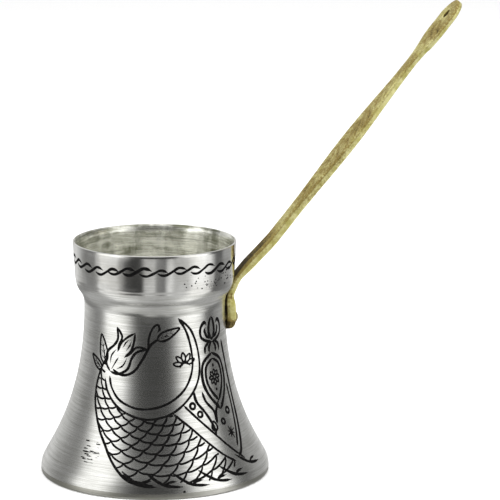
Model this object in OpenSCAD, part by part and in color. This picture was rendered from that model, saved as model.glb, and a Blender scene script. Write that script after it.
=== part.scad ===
// Turkish coffee pot (cezve) with an engraved spun body and a cast handle on two rivets.
// The body stands on the XY plane with its axis on Z, and the handle lies in the XZ plane towards +X.

/* [Body] */
// Height of the body from the table to the rim
body_h = 82.2; // [70:0.2:100]
// Diameter of the foot of the body, its widest place
base_d = 80; // [70:0.5:96]
// Outer diameter of the narrow neck
neck_d = 49; // [40.5:0.5:52]
// Outer diameter at the bottom of the straight band
band_d = 55.3; // [53:0.1:66]
// Outer diameter at the rim
rim_d = 56.9; // [54:0.1:68]
// Height of the straight band under the rim
band_h = 12.8; // [9:0.2:16]
// Height of the curved shoulder between neck and band
shoulder_h = 9.2; // [8:0.2:12]
// Thickness of the body's wall
wall = 1.2; // [0.8:0.05:1.6]
// Thickness of the body's floor
floor_t = 1.6; // [1:0.1:3]

/* [Body curves] */
// Rounding where the side meets the table
foot_round = 0.8; // [0.3:0.1:1.2]
// Height of the upright edge above the table
foot_edge_h = 1.8; // [1.4:0.1:3]
// Radius that turns the upright edge into the flare
heel_r = 8; // [5:0.5:12]
// Lean of the flare where it starts, from upright
flare_lean = 24.4; // [15:0.2:32]
// How long the flare keeps its first lean, as a share of its height
flare_pull = 0.115; // [0.05:0.005:0.3]
// How long the neck stays upright, as a share of the flare's height
neck_pull = 0.6; // [0.4:0.01:0.7]
// Rounding of the outer edge of the rim
rim_round = 0.4; // [0.1:0.05:0.6]

/* [Handle] */
// Distance of the handle's lower end below the top of the neck
foot_drop = 11; // [8:0.2:16]
// Width of the round foot plate
foot_w = 12.8; // [11:0.2:16]
// Thickness of the foot plate
foot_t = 3.4; // [2.4:0.1:4.2]
// Gap between the middle of the foot plate and the narrowest ring of the neck
foot_gap = 0.1; // [0.05:0.05:0.5]
// Length of the straight, upright part of the foot
foot_l = 12; // [10.5:0.2:14]
// Height of the riser that carries the handle past the shoulder
rise_h = 6.56; // [5:0.02:8]
// Distance of the riser's upper end outside the bottom of the band
rise_out = 1.57; // [1:0.01:3]
// Length of the narrow stem between riser and blade
stem_l = 18; // [12:0.5:26]
// Angle of the stem above the horizontal
stem_angle = 45; // [35:0.5:55]
// Length of the flat blade, from the stem to its tip
blade_l = 106; // [80:1:130]
// Angle of the blade above the horizontal
blade_angle = 50.6; // [40:0.2:60]
// Thickness of the riser
rise_t = 2.5; // [1.8:0.1:3]
// Thickness of the stem
stem_t = 3.3; // [2.2:0.1:4]
// Thickness of the blade at its tip
tip_t = 2.2; // [1.4:0.1:3]
// Width of the riser and stem
stem_w = 6.6; // [5:0.2:9]
// Width of the blade at its belly
belly_w = 12; // [8:0.2:16]
// Width of the blade at its waist
waist_w = 5.8; // [4:0.2:8]
// Width of the leaf at the end of the blade
leaf_w = 12.6; // [8:0.2:16]
// Diameter of the hole that the pot hangs by
hang_d = 3.2; // [2:0.1:4]
// Distance of the hanging hole from the tip
hang_inset = 6.2; // [4.5:0.1:9]
// Gap that the handle keeps to the body above its foot
body_gap = 0.15; // [0.05:0.05:0.4]

/* [Rivets] */
// Diameter of a rivet's shank
shank_d = 2.4; // [1.6:0.1:3]
// Gap round a shank in its hole
shank_gap = 0.05; // [0.02:0.01:0.1]
// Diameter of a rivet's heads
head_d = 4.4; // [3.6:0.1:5]
// Height of a rivet's domed heads
head_h = 1.1; // [0.6:0.1:1.6]
// Distance between the two rivets
rivet_spacing = 6.2; // [5.4:0.1:7]
// Height of the rivets above the lower end of the foot
rivet_rise = 5; // [4:0.1:6.5]

/* [Hidden] */
$fn = 96;

eps = 0.01;
curve_n = 24; // steps on a free curve
arc_n = 8; // steps on a short arc

base_r = base_d / 2;
neck_r = neck_d / 2;
band_r = band_d / 2;
rim_r = rim_d / 2;
neck_z = body_h - band_h - shoulder_h;
band_z = body_h - band_h;

// a point on a cubic curve through four control points
function bezier(p, t) =
    p[0] * pow(1 - t, 3) + 3 * p[1] * pow(1 - t, 2) * t
    + 3 * p[2] * (1 - t) * pow(t, 2) + p[3] * pow(t, 3);

// points on an arc between two angles
function arc(c, r, a, b, n) = [for (i = [0 : n]) c + r * [cos(a + (b - a) * i / n), sin(a + (b - a) * i / n)]];

// a smooth step from a to b as u goes from 0 to 1
function ease(a, b, u) = a + (b - a) * (1 - cos(180 * min(max(u, 0), 1))) / 2;

// flare: from the heel's end up to the neck, as radius and height; inset moves it into the wall
heel_end = [base_r - heel_r * (1 - cos(flare_lean)), foot_edge_h + heel_r * sin(flare_lean)];
flare_h = neck_z - heel_end[1];
flare_ctrl = [
    heel_end,
    heel_end + flare_pull * flare_h * [-sin(flare_lean), cos(flare_lean)],
    [neck_r, neck_z - neck_pull * flare_h],
    [neck_r, neck_z]
];
function flare(inset) = [
    for (i = [1 : curve_n])
        let (
            t = i / curve_n,
            d = bezier(flare_ctrl, t) - bezier(flare_ctrl, t - 0.5 / curve_n),
            n = [-d[1], d[0]] / norm(d)
        )
        bezier(flare_ctrl, t) + inset * n
];

// shoulder: two equal arcs that meet half way between neck and band
shoulder_turn = 2 * atan2(band_r - neck_r, shoulder_h);
shoulder_r = shoulder_h / (2 * sin(shoulder_turn));
function shoulder(inset) = concat(
    arc([neck_r + shoulder_r, neck_z], shoulder_r + inset, 180, 180 - shoulder_turn, arc_n),
    arc([band_r - shoulder_r, band_z], shoulder_r - inset, -shoulder_turn, 0, arc_n)
);

// the outside of the body from the table to the rim, grown by a gap where it is used as a tool
function outside(gap) = concat(
    arc([base_r - foot_round, foot_round], foot_round + gap, -90, 0, 4),
    arc([base_r - heel_r, foot_edge_h], heel_r + gap, 0, flare_lean, arc_n),
    flare(-gap),
    shoulder(-gap),
    arc([rim_r - rim_round, body_h - rim_round], rim_round + gap, 0, 90, 4)
);
inside = concat(
    [[base_r - wall, floor_t]],
    arc([base_r - heel_r, foot_edge_h], heel_r - wall, 0, flare_lean, arc_n),
    flare(wall),
    shoulder(wall),
    [[rim_r - wall, body_h]]
);

module body_shell() {
    rotate_extrude()
        polygon(concat([[0, 0]], outside(0), [for (i = [len(inside) - 1 : -1 : 0]) inside[i]], [[0, floor_t]]));
}

// the body as one solid, grown by a gap, to clear space beside it
module body_solid(gap) {
    rotate_extrude()
        polygon(concat([[0, 0]], outside(gap), [[0, body_h + gap]]));
}

// centre line of the handle, as X and Z
foot_x = neck_r + foot_gap;
foot_z = neck_z - foot_drop;
p_foot = [foot_x + foot_t / 2, foot_z];
p_rise = p_foot + [0, foot_l];
p_stem = [band_r + rise_out, p_rise[1] + rise_h];
rise_angle = atan2(p_stem[1] - p_rise[1], p_stem[0] - p_rise[0]);
p_blade = p_stem + stem_l * [cos(stem_angle), sin(stem_angle)];
blade_dir = [cos(blade_angle), sin(blade_angle)];
p_tip = p_blade + blade_l * blade_dir;

// a point beside the centre line, at the middle angle of the two stretches that meet there
function beside(p, a, b, t) =
    p + t / (2 * cos((a - b) / 2)) * [-sin((a + b) / 2), cos((a + b) / 2)];

function handle_side(s) = [
    beside(p_foot, 90, 90, s * foot_t),
    beside(p_rise - [0, 2], 90, 90, s * foot_t),
    beside(p_rise, 90, rise_angle, s * rise_t),
    beside(p_stem, rise_angle, stem_angle, s * rise_t),
    beside(p_stem + stem_l / 3 * [cos(stem_angle), sin(stem_angle)], stem_angle, stem_angle, s * stem_t),
    beside(p_blade, stem_angle, blade_angle, s * stem_t),
    beside(p_tip, blade_angle, blade_angle, s * tip_t)
];

// widths along the blade: belly, waist, leaf and round tip start at set shares of its length
belly_s = 0.42 * blade_l;
waist_s = 0.745 * blade_l;
leaf_s = 0.875 * blade_l;
tip_s = 0.93 * blade_l;
stem_end = 0.1 * blade_l;
function blade_half(s) =
    s < stem_end ? stem_w / 2
    : s < belly_s ? ease(stem_w, belly_w, (s - stem_end) / (belly_s - stem_end)) / 2
    : s < waist_s ? ease(belly_w, waist_w, (s - belly_s) / (waist_s - belly_s)) / 2
    : ease(waist_w, leaf_w, (s - waist_s) / (leaf_s - waist_s)) / 2;
blade_steps = 48;
blade_edge = concat(
    [for (i = [0 : blade_steps]) let (s = tip_s * i / blade_steps) [s, blade_half(s)]],
    [for (i = [1 : arc_n]) let (a = 90 * i / arc_n) [tip_s + (blade_l - tip_s) * sin(a), leaf_w / 2 * cos(a)]]
);

// the foot plate seen from the front: a round lobe that eases into the stem
lobe_r = foot_w / 2;
lobe_z = foot_z + lobe_r;
lobe_turn = 35;
rivet_z = foot_z + rivet_rise;
neck_in = [lobe_r * cos(lobe_turn), lobe_z + lobe_r * sin(lobe_turn)];
foot_top = p_rise[1] + 1;
front_edge = concat(
    arc([0, lobe_z], lobe_r, -90, lobe_turn, 14),
    [for (i = [1 : arc_n]) let (u = i / arc_n)
        [ease(neck_in[0], stem_w / 2, u), neck_in[1] + u * (foot_top - neck_in[1])]]
);

module mirrored_outline(edge) {
    polygon(concat(edge, [for (i = [len(edge) - 1 : -1 : 0]) [-edge[i][0], edge[i][1]]]));
}

module rivet_places() {
    for (side = [-1, 1])
        translate([0, side * rivet_spacing / 2, rivet_z]) children();
}

// a round bar along X, from one X to another
module x_bar(d, from, to) {
    translate([from, 0, 0]) rotate([0, 90, 0]) cylinder(h = to - from, d = d);
}

module rivet_holes() {
    rivet_places() x_bar(shank_d + 2 * shank_gap, neck_r / 2, foot_x + foot_t + 1);
}

// a domed rivet head that rises along +X from its flat
module rivet_head() {
    dome_r = (pow(head_d / 2, 2) + pow(head_h, 2)) / (2 * head_h);
    dome_turn = asin(head_d / 2 / dome_r);
    rotate([0, 90, 0])
        rotate_extrude()
            polygon(concat([[0, 0]], arc([0, head_h - dome_r], dome_r, 90 - dome_turn, 90, arc_n)));
}

// the head's flat inside the pot lies where its edge nears the curved wall
head_reach = rivet_spacing / 2 + head_d / 2;
inner_flat = sqrt(pow(neck_r - wall, 2) - pow(head_reach, 2));

module rivet(side) {
    translate([0, side * rivet_spacing / 2, rivet_z]) {
        x_bar(shank_d, inner_flat - eps, foot_x + foot_t + eps);
        translate([foot_x + foot_t, 0, 0]) rivet_head();
    }
    difference() {
        translate([0, side * rivet_spacing / 2, rivet_z]) {
            translate([inner_flat, 0, 0]) mirror([1, 0, 0]) rivet_head();
            x_bar(head_d, inner_flat - eps, neck_r - wall / 2);
        }
        body_shell();
    }
}

module pot_body() {
    color("silver")
        difference() {
            body_shell();
            rivet_holes();
        }
}

module handle() {
    color("darkkhaki")
        difference() {
            intersection() {
                translate([0, max(foot_w, belly_w, leaf_w), 0])
                    rotate([90, 0, 0])
                        linear_extrude(2 * max(foot_w, belly_w, leaf_w))
                            polygon(concat(handle_side(1), [for (i = [6 : -1 : 0]) handle_side(-1)[i]]));
                union() {
                    // foot, riser and stem, cut to their outline seen along X
                    rotate([90, 0, 90])
                        linear_extrude(p_blade[0] + stem_t)
                            mirrored_outline(concat(front_edge, [[stem_w / 2, p_blade[1] + stem_t / 2]]));
                    // blade, cut to its outline seen along its own thickness
                    translate([p_blade[0], 0, p_blade[1]])
                        rotate([0, -blade_angle, 0])
                            translate([0, 0, -2 * stem_t])
                                linear_extrude(4 * stem_t)
                                    rotate(-90)
                                        mirrored_outline([for (p = concat([[-stem_t / 2, stem_w / 2]],
                                            blade_edge)) [p[1], p[0]]]);
                }
            }
            body_solid(body_gap);
            rivet_holes();
            translate([p_tip[0], 0, p_tip[1]])
                rotate([0, -blade_angle, 0])
                    translate([-hang_inset, 0, -2 * stem_t])
                        cylinder(h = 4 * stem_t, d = hang_d);
        }
}

module rivet_left() {
    color("khaki") rivet(1);
}

module rivet_right() {
    color("khaki") rivet(-1);
}

pot_body();
handle();
rivet_left();
rivet_right();
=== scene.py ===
import math
import random
from types import SimpleNamespace

import bmesh
import bpy
from mathutils import Matrix, Vector, noise


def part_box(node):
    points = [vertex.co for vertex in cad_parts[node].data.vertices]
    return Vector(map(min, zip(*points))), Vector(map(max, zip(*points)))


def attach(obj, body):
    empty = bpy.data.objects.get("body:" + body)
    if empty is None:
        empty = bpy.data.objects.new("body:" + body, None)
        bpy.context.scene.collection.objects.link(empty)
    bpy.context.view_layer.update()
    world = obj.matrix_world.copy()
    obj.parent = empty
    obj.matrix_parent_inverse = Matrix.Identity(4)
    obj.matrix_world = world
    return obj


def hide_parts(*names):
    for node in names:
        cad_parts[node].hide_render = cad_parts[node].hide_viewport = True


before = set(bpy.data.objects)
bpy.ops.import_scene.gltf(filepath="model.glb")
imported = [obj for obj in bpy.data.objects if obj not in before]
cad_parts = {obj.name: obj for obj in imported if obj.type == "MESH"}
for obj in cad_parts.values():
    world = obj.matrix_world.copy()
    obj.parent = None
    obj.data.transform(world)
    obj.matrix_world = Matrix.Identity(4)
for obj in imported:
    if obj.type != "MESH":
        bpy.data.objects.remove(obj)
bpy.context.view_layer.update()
MM = 0.001

# ================================================================ camera, floor and light

CAM_AZIMUTH = 12.0  # degrees: the handle points this much away from the camera
CAM_ELEVATION = 13.95
CAM_DISTANCE = 1051 * MM  # from the point on the axis at CAM_PIVOT_Z
CAM_PIVOT_Z = 40 * MM
CAM_AIM = Vector((34.3, 0.7, 76.8)) * MM
CAM_ROLL = 0.247
CAM_LENS = 216.0


def link(obj):
    bpy.context.scene.collection.objects.link(obj)
    return obj


def make_camera():
    a, e = math.radians(CAM_AZIMUTH), math.radians(CAM_ELEVATION)
    back = Vector((-math.sin(a) * math.cos(e), -math.cos(a) * math.cos(e), math.sin(e)))
    place = Vector((0, 0, CAM_PIVOT_Z)) + back * CAM_DISTANCE
    data = bpy.data.cameras.new("camera")
    data.lens = CAM_LENS
    data.clip_start, data.clip_end = 0.01, 50
    cam = link(bpy.data.objects.new("camera", data))
    look = (CAM_AIM - place).to_track_quat("-Z", "Y").to_matrix().to_4x4()
    cam.matrix_world = Matrix.Translation(place) @ look @ Matrix.Rotation(math.radians(CAM_ROLL), 4, "Z")
    bpy.context.scene.camera = cam


class Nodes:
    """A node tree with short calls: add a node, set its inputs, and join what it is given."""

    def __init__(self, tree):
        self.tree = tree
        tree.nodes.clear()

    def add(self, kind, out=0, props=None, **inputs):
        node = self.tree.nodes.new(kind)
        for key, value in (props or {}).items():
            setattr(node, key, value)
        for key, value in inputs.items():
            self.put(node, key.replace("_", " "), value)
        return node if out is None else node.outputs[out]

    def put(self, node, name, value):
        """Sets or joins an input, given by its name or, as i0, i1 and so on, by its place."""
        numbered = name[:1] == "i" and name[1:].isdigit()
        socket = node.inputs[int(name[1:]) if numbered else name]
        if isinstance(value, bpy.types.NodeSocket):
            self.tree.links.new(value, socket)
        else:
            socket.default_value = value

    def math(self, op, a, b):
        return self.add("ShaderNodeMath", props={"operation": op}, i0=a, i1=b)

    def weighted(self, *parts):
        """The sum of (value, weight) pairs."""
        total, *rest = [self.math("MULTIPLY", value, weight) for value, weight in parts]
        for part in rest:
            total = self.math("ADD", total, part)
        return total

    def ramp(self, fac, lo, hi, to_lo=0.0, to_hi=1.0, smooth=True):
        """fac from lo..hi mapped to to_lo..to_hi, clamped."""
        kind = {"interpolation_type": "SMOOTHSTEP" if smooth else "LINEAR"}
        return self.add("ShaderNodeMapRange", props=kind, i0=fac, i1=lo, i2=hi, i3=to_lo, i4=to_hi)

    def mix(self, fac, a, b):
        node = self.add("ShaderNodeMix", None, {"data_type": "RGBA"})
        self.put(node, "i0", fac)
        self.put(node, "i6", a)
        self.put(node, "i7", b)
        return node.outputs[2]

    def noise(self, vector, scale=1.0, detail=3.0, rough=0.5, distort=0.0):
        return self.add("ShaderNodeTexNoise", Vector=vector, Scale=scale, Detail=detail, Roughness=rough,
                        Distortion=distort)

    def stretch(self, vector, x, y, z):
        return self.add("ShaderNodeVectorMath", props={"operation": "MULTIPLY"}, i0=vector, i1=(x, y, z))


def rgb(r, g, b):
    return (r, g, b, 1.0)


# What the metal mirrors, as (degrees round Z from the camera's side, plus to the right; brightness). The room
# has a soft box on each side and is dark behind the camera; the pale table lies below it, far and near.
ROOM = [
    (-180, 0.75), (-150, 0.7), (-128, 0.42), (-113, 0.24), (-99, 0.18), (-92, 0.3), (-84, 1.35), (-50, 1.4),
    (-42, 0.5), (-33, 0.15), (-24, 0.06), (24, 0.06), (31, 0.2), (41, 0.9), (49, 1.4), (77, 1.4),
    (84, 0.5), (90, 0.1), (106, 0.1), (118, 0.34), (140, 0.42), (165, 0.7), (180, 0.75),
]
TABLE_FAR = [
    (-180, 0.35), (-115, 0.24), (-97, 0.3), (-90, 0.8), (-60, 0.72), (-50, 0.22), (-42, 0.05), (-20, 0.03),
    (-14, 0.62), (0, 0.66), (6, 0.22), (16, 0.17), (22, 0.85), (30, 0.5), (48, 0.55), (60, 1.05),
    (88, 1.0), (97, 0.14), (125, 0.2), (150, 0.4), (180, 0.4),
]
TABLE_NEAR = [
    (-180, 0.45), (-110, 0.4), (-92, 0.46), (-80, 1.0), (-58, 0.95), (-42, 0.68), (-20, 0.48),
    (20, 0.46), (45, 0.65), (58, 1.2), (82, 1.2), (92, 0.45), (125, 0.42), (180, 0.45),
]
OVERHEAD = 0.9
UNDERFOOT = 0.4
WORLD_LIGHT = 0.75
# between which heights of a mirrored ray's direction, where 1 is straight up, each one takes over
TABLE_FAR_FROM = (-0.25, -0.32)
TABLE_NEAR_FROM = (-0.44, -0.5)
OVERHEAD_FROM = (0.6, 0.95)
UNDERFOOT_FROM = (-0.8, -0.97)


def make_world():
    world = bpy.data.worlds.new("studio")
    world.use_nodes = True
    bpy.context.scene.world = world
    n = Nodes(world.node_tree)
    direction = n.add("ShaderNodeTexCoord", "Generated")
    facing = n.add("ShaderNodeVectorRotate", props={"rotation_type": "Z_AXIS"}, Vector=direction,
                   Angle=math.radians(CAM_AZIMUTH))
    x, y, z = n.add("ShaderNodeSeparateXYZ", None, Vector=facing).outputs
    turn = n.math("DIVIDE", n.math("ARCTAN2", x, n.math("MULTIPLY", y, -1.0)), 2 * math.pi)
    round_about = n.math("ADD", turn, 0.5)

    def profile(stops):
        ramp = n.add("ShaderNodeValToRGB", None, Fac=round_about)
        while len(ramp.color_ramp.elements) < len(stops):
            ramp.color_ramp.elements.new(0.5)
        for element, (angle, level) in zip(ramp.color_ramp.elements, stops):
            element.position = angle / 360 + 0.5
            element.color = rgb(level, level, level)
        return ramp.outputs[0]

    level = n.mix(n.ramp(z, *TABLE_FAR_FROM), profile(ROOM), profile(TABLE_FAR))
    level = n.mix(n.ramp(z, *TABLE_NEAR_FROM), level, profile(TABLE_NEAR))
    level = n.mix(n.ramp(z, *OVERHEAD_FROM), level, rgb(OVERHEAD, OVERHEAD, OVERHEAD))
    level = n.mix(n.ramp(z, *UNDERFOOT_FROM), level, rgb(UNDERFOOT, UNDERFOOT, UNDERFOOT))
    mirrored = n.add("ShaderNodeLightPath", "Is Glossy Ray")
    color = n.mix(mirrored, rgb(WORLD_LIGHT, WORLD_LIGHT, WORLD_LIGHT), level)
    sky = n.add("ShaderNodeBackground", Color=color)
    n.add("ShaderNodeOutputWorld", None, Surface=sky)


def make_area(name, place, aim, size, watts):
    data = bpy.data.lights.new(name, "AREA")
    data.shape = "RECTANGLE"
    data.size, data.size_y = size
    data.energy = watts
    lamp = link(bpy.data.objects.new(name, data))
    lamp.location = place
    lamp.rotation_euler = (Vector(aim) - Vector(place)).to_track_quat("-Z", "Y").to_euler()
    lamp.visible_glossy = False


FLOOR_SIZE = 6.0
FLOOR_DROP = 0.02 * MM  # how far the floor is below the foot, so that the two don't share a plane


def make_floor():
    mesh = bpy.data.meshes.new("floor")
    corners = [(-1, -1), (1, -1), (1, 1), (-1, 1)]
    points = [Vector((x * FLOOR_SIZE / 2, y * FLOOR_SIZE / 2, -FLOOR_DROP)) for x, y in corners]
    mesh.from_pydata(points, [], [(0, 1, 2, 3)])
    mat = bpy.data.materials.new("floor_paper")
    mat.use_nodes = True
    n = Nodes(mat.node_tree)
    grain = n.noise(n.add("ShaderNodeTexCoord", "Object"), scale=900.0, detail=2.0)
    tone = n.mix(grain, rgb(0.86, 0.86, 0.86), rgb(0.9, 0.9, 0.9))
    paper = n.add("ShaderNodeBsdfDiffuse", Color=tone)
    below = n.add("ShaderNodeNewGeometry", "Backfacing")
    clear = n.add("ShaderNodeMixShader", i0=below, i1=paper, i2=n.add("ShaderNodeBsdfTransparent"))
    n.add("ShaderNodeOutputMaterial", None, Surface=clear)
    mesh.materials.append(mat)
    floor = link(bpy.data.objects.new("floor", mesh))
    floor.visible_glossy = False


# ================================================================ shapes of the body, in millimetres

BODY_LOW, BODY_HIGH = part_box("pot_body")
BODY_H = BODY_HIGH.z / MM
BOX_INSET = 0.01  # how far the visual pot stays inside the CAD pot
BASE_R = min(-BODY_LOW.x, -BODY_LOW.y, BODY_HIGH.x, BODY_HIGH.y) / MM - BOX_INSET
NECK_R = 24.5
BAND_R = 27.65
RIM_R = 28.45
BAND_H = 12.8
SHOULDER_H = 9.2
WALL = 1.2
FLOOR_T = 1.6
FOOT_ROUND = 0.8
FOOT_EDGE_H = 1.8
HEEL_R = 8.0
FLARE_LEAN = math.radians(24.4)
FLARE_PULL = 0.115
NECK_PULL = 0.6
NECK_Z = BODY_H - BAND_H - SHOULDER_H
BAND_Z = BODY_H - BAND_H
HEEL_STEPS, FLARE_STEPS, SHOULDER_STEPS = 10, 60, 12
TINY = 1e-6  # less than this counts as nothing


def arc(cx, cz, r, a, b, n):
    """Points (radius, height) on an arc from angle a to b, in degrees."""
    turns = [math.radians(a + (b - a) * i / n) for i in range(n + 1)]
    return [(cx + r * math.cos(t), cz + r * math.sin(t)) for t in turns]


def bezier(p, t):
    u = 1 - t
    k = (u ** 3, 3 * u * u * t, 3 * u * t * t, t ** 3)
    return tuple(sum(w * q[i] for w, q in zip(k, p)) for i in (0, 1))


def wall_line(inset):
    """The wall from the heel to the bottom of the band, moved in by an inset."""
    lean = math.degrees(FLARE_LEAN)
    heel = arc(BASE_R - HEEL_R, FOOT_EDGE_H, HEEL_R - inset, 0, lean, HEEL_STEPS)
    end = (BASE_R - HEEL_R * (1 - math.cos(FLARE_LEAN)), FOOT_EDGE_H + HEEL_R * math.sin(FLARE_LEAN))
    rise = NECK_Z - end[1]
    pull = FLARE_PULL * rise
    ctrl = (end, (end[0] - pull * math.sin(FLARE_LEAN), end[1] + pull * math.cos(FLARE_LEAN)),
            (NECK_R, NECK_Z - NECK_PULL * rise), (NECK_R, NECK_Z))
    flare = []
    for i in range(1, FLARE_STEPS):
        p, q = bezier(ctrl, i / FLARE_STEPS), bezier(ctrl, (i - 0.5) / FLARE_STEPS)
        dr, dz = p[0] - q[0], p[1] - q[1]
        length = math.hypot(dr, dz)
        flare.append((p[0] - inset * dz / length, p[1] + inset * dr / length))
    turn = 2 * math.atan2(BAND_R - NECK_R, SHOULDER_H)
    r = SHOULDER_H / (2 * math.sin(turn))
    turn = math.degrees(turn)
    lower = arc(NECK_R + r, NECK_Z, r + inset, 180, 180 - turn, SHOULDER_STEPS)
    upper = arc(BAND_R - r, BAND_Z, r - inset, -turn, 0, SHOULDER_STEPS)
    return heel + flare + lower + upper[1:]


def refine(line, step):
    """The line with points added so that none are further apart than a step."""
    out = [line[0]]
    for a, b in zip(line, line[1:]):
        n = max(1, math.ceil(math.dist(a, b) / step))
        out += [tuple(a[k] + (b[k] - a[k]) * i / n for k in (0, 1)) for i in range(1, n + 1)]
    return out


OUTER = wall_line(0.0)
LIP_R = 0.45
OUTER_TOP = [(RIM_R, BODY_H - LIP_R)]
OUTSIDE = OUTER + OUTER_TOP


def body_radius(z):
    """Outer radius of the body at a height."""
    for (r0, z0), (r1, z1) in zip(OUTSIDE, OUTSIDE[1:]):
        if z0 <= z <= z1:
            return r0 + (r1 - r0) * (z - z0) / max(z1 - z0, TINY)
    return OUTSIDE[0][0] if z < OUTSIDE[0][1] else OUTSIDE[-1][0]


def body_lean(z):
    """How much the radius changes with height."""
    reach = 0.4
    return (body_radius(z + reach) - body_radius(z - reach)) / (2 * reach)


def wave(angle, z, round_scale, up_scale, seed):
    """Smooth noise that closes on itself round the pot."""
    p = Vector((math.cos(angle) * round_scale, math.sin(angle) * round_scale, z * up_scale))
    return noise.noise(p + Vector((seed, seed * 0.7, seed * 1.3)))


def ripple(x, y, z):
    return noise.noise(Vector((x, y, z)))


def fade(x, lo, hi):
    """0 at lo and 1 at hi, with a smooth rise between them."""
    t = min(max((x - lo) / (hi - lo), 0.0), 1.0)
    return t * t * (3 - 2 * t)


def window(x, rise, fall):
    """1 between a rise and a fall, and 0 outside them."""
    return fade(x, *rise) * (1 - fade(x, *fall))


CREASE = 0.11  # how far the shoulder is set in under the band


def spun_wave(angle, z):
    """How far hand spinning and hammering leave the wall from a true circle."""
    keep = fade(z, 3, 12) * fade(BODY_H - z, -1.0, 2.5)
    band = fade(z, BAND_Z - 1, BAND_Z + 2)
    flare = wave(angle, z, 1.6, 0.03, 3.1) * 0.09 + wave(angle, z, 5.0, 0.05, 8.2) * 0.025
    rolled = wave(angle, z, 5.5, 0.05, 5.7) * 0.11 + wave(angle, z, 12, 0.12, 1.9) * 0.03
    crease = CREASE * (1 - fade(z, BAND_Z - 0.5, BAND_Z + 0.1)) * fade(z, BAND_Z - 9, BAND_Z - 2)
    return keep * (flare * (1 - band) + band * rolled) - crease


def body_wave(angle, z, r):
    """The same wave on the outside, and deeper dents on the inside, where the tin was wiped on by hand."""
    outside = spun_wave(angle, z)
    if r > body_radius(z) - WALL * 0.5 or z < FLOOR_T + 0.2:
        return outside
    dents = (wave(angle, z, 6.0, 0.07, 4.4) * 0.2 + wave(angle, z, 13, 0.25, 6.1) * 0.09
             + wave(angle, z, 3, 1.1, 2.1) * 0.05)
    return outside + dents * fade(z, 4, 12) * fade(BODY_H - z, 0.2, 3.0)


def make_mesh(name, points, faces):
    mesh = bpy.data.meshes.new(name)
    mesh.from_pydata([Vector(p) * MM for p in points], [], faces)
    mesh.polygons.foreach_set("use_smooth", [True] * len(mesh.polygons))
    mesh.update()
    return link(bpy.data.objects.new(name, mesh))


def lathe(name, line, segments, shape=None):
    """Turns a line of (radius, height) round Z. Points with radius 0 become one vertex."""
    points, rings = [], []
    for r, z in line:
        if r < TINY:
            rings.append([len(points)])
            points.append((0, 0, z))
            continue
        ring = []
        for i in range(segments):
            a = 2 * math.pi * i / segments
            rr = r + (shape(a, z, r) if shape else 0.0)
            ring.append(len(points))
            points.append((rr * math.cos(a), rr * math.sin(a), z))
        rings.append(ring)
    faces = []
    for lo, hi in zip(rings, rings[1:]):
        for i in range(segments):
            j = (i + 1) % segments
            if len(lo) == 1:
                faces.append((lo[0], hi[j], hi[i]))
            elif len(hi) == 1:
                faces.append((lo[i], lo[j], hi[0]))
            else:
                faces.append((lo[i], lo[j], hi[j], hi[i]))
    return make_mesh(name, points, faces)


SEGMENTS = 252
SMALL_SEGMENTS = 48  # round the rivets and the hanging hole
UNDER_STEP, SIDE_STEP, INSIDE_STEP = 2.5, 0.5, 1.2  # the points of the turned line are no further apart
FOOT_STEPS, LIP_STEPS = 6, 5
HOLLOW = 0.45  # how far the middle of the underside is raised
HOLLOW_IN, HOLLOW_OUT = 6.0, 4.5  # where its slope ends and starts, in from the base's edge
LIP_SLOPE = 0.12  # the slope inside the lip starts this far in, and bends this far off the wall
LIP_START, LIP_BEND, LIP_END = 0.06, 1.6, 2.6  # the points of that slope, down from the rim
CORNER_IN, CORNER_UP, CORNER_REACH = 0.3, 0.4, 1.2  # the bevel between the inside wall and the floor


def make_body():
    foot = arc(BASE_R - FOOT_ROUND, FOOT_ROUND, FOOT_ROUND, -90, 0, FOOT_STEPS)
    hollow = [(0, HOLLOW), (BASE_R - HOLLOW_IN, HOLLOW), (BASE_R - HOLLOW_OUT, 0.0)]
    under = refine(hollow + foot[:1], UNDER_STEP)
    side = refine(foot + OUTSIDE, SIDE_STEP)
    lip = arc(RIM_R - LIP_R, BODY_H - LIP_R, LIP_R, 0, 90, LIP_STEPS)[1:]
    inner_lip = [(RIM_R - LIP_R - LIP_SLOPE, BODY_H - LIP_START),
                 (RIM_R - WALL + LIP_SLOPE, BODY_H - LIP_BEND),
                 (RIM_R - WALL, BODY_H - LIP_END)]
    inside_r = BASE_R - WALL
    corner = [(inside_r - CORNER_IN, FLOOR_T + CORNER_UP), (inside_r - CORNER_REACH, FLOOR_T), (0, FLOOR_T)]
    down = refine([inner_lip[-1]] + wall_line(WALL)[::-1] + corner, INSIDE_STEP)
    line = under[:-1] + side + lip + inner_lip[:-1] + down
    return lathe("spun_body", line, SEGMENTS, body_wave)


# ================================================================ metals

def material(name):
    mat = bpy.data.materials.new(name)
    mat.use_nodes = True
    return mat, Nodes(mat.node_tree)


def finish_metal(n, color, rough, bump_height, bump_mm, anisotropic=0.0, metallic=1.0, specular=0.5):
    """The shader of a worked metal: colour, roughness and a bump, with its grain running round Z."""
    normal = n.add("ShaderNodeBump", Height=bump_height, Strength=1.0, Distance=bump_mm * MM)
    shader = n.add("ShaderNodeBsdfPrincipled", None, Base_Color=color, Roughness=rough, Normal=normal,
                   Metallic=metallic)
    shader.inputs["Specular IOR Level"].default_value = specular
    if anisotropic:
        shader.inputs["Anisotropic"].default_value = anisotropic
        n.put(shader, "Tangent", n.add("ShaderNodeTangent", props={"direction_type": "RADIAL", "axis": "Z"}))
    n.add("ShaderNodeOutputMaterial", None, Surface=shader.outputs[0])


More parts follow.
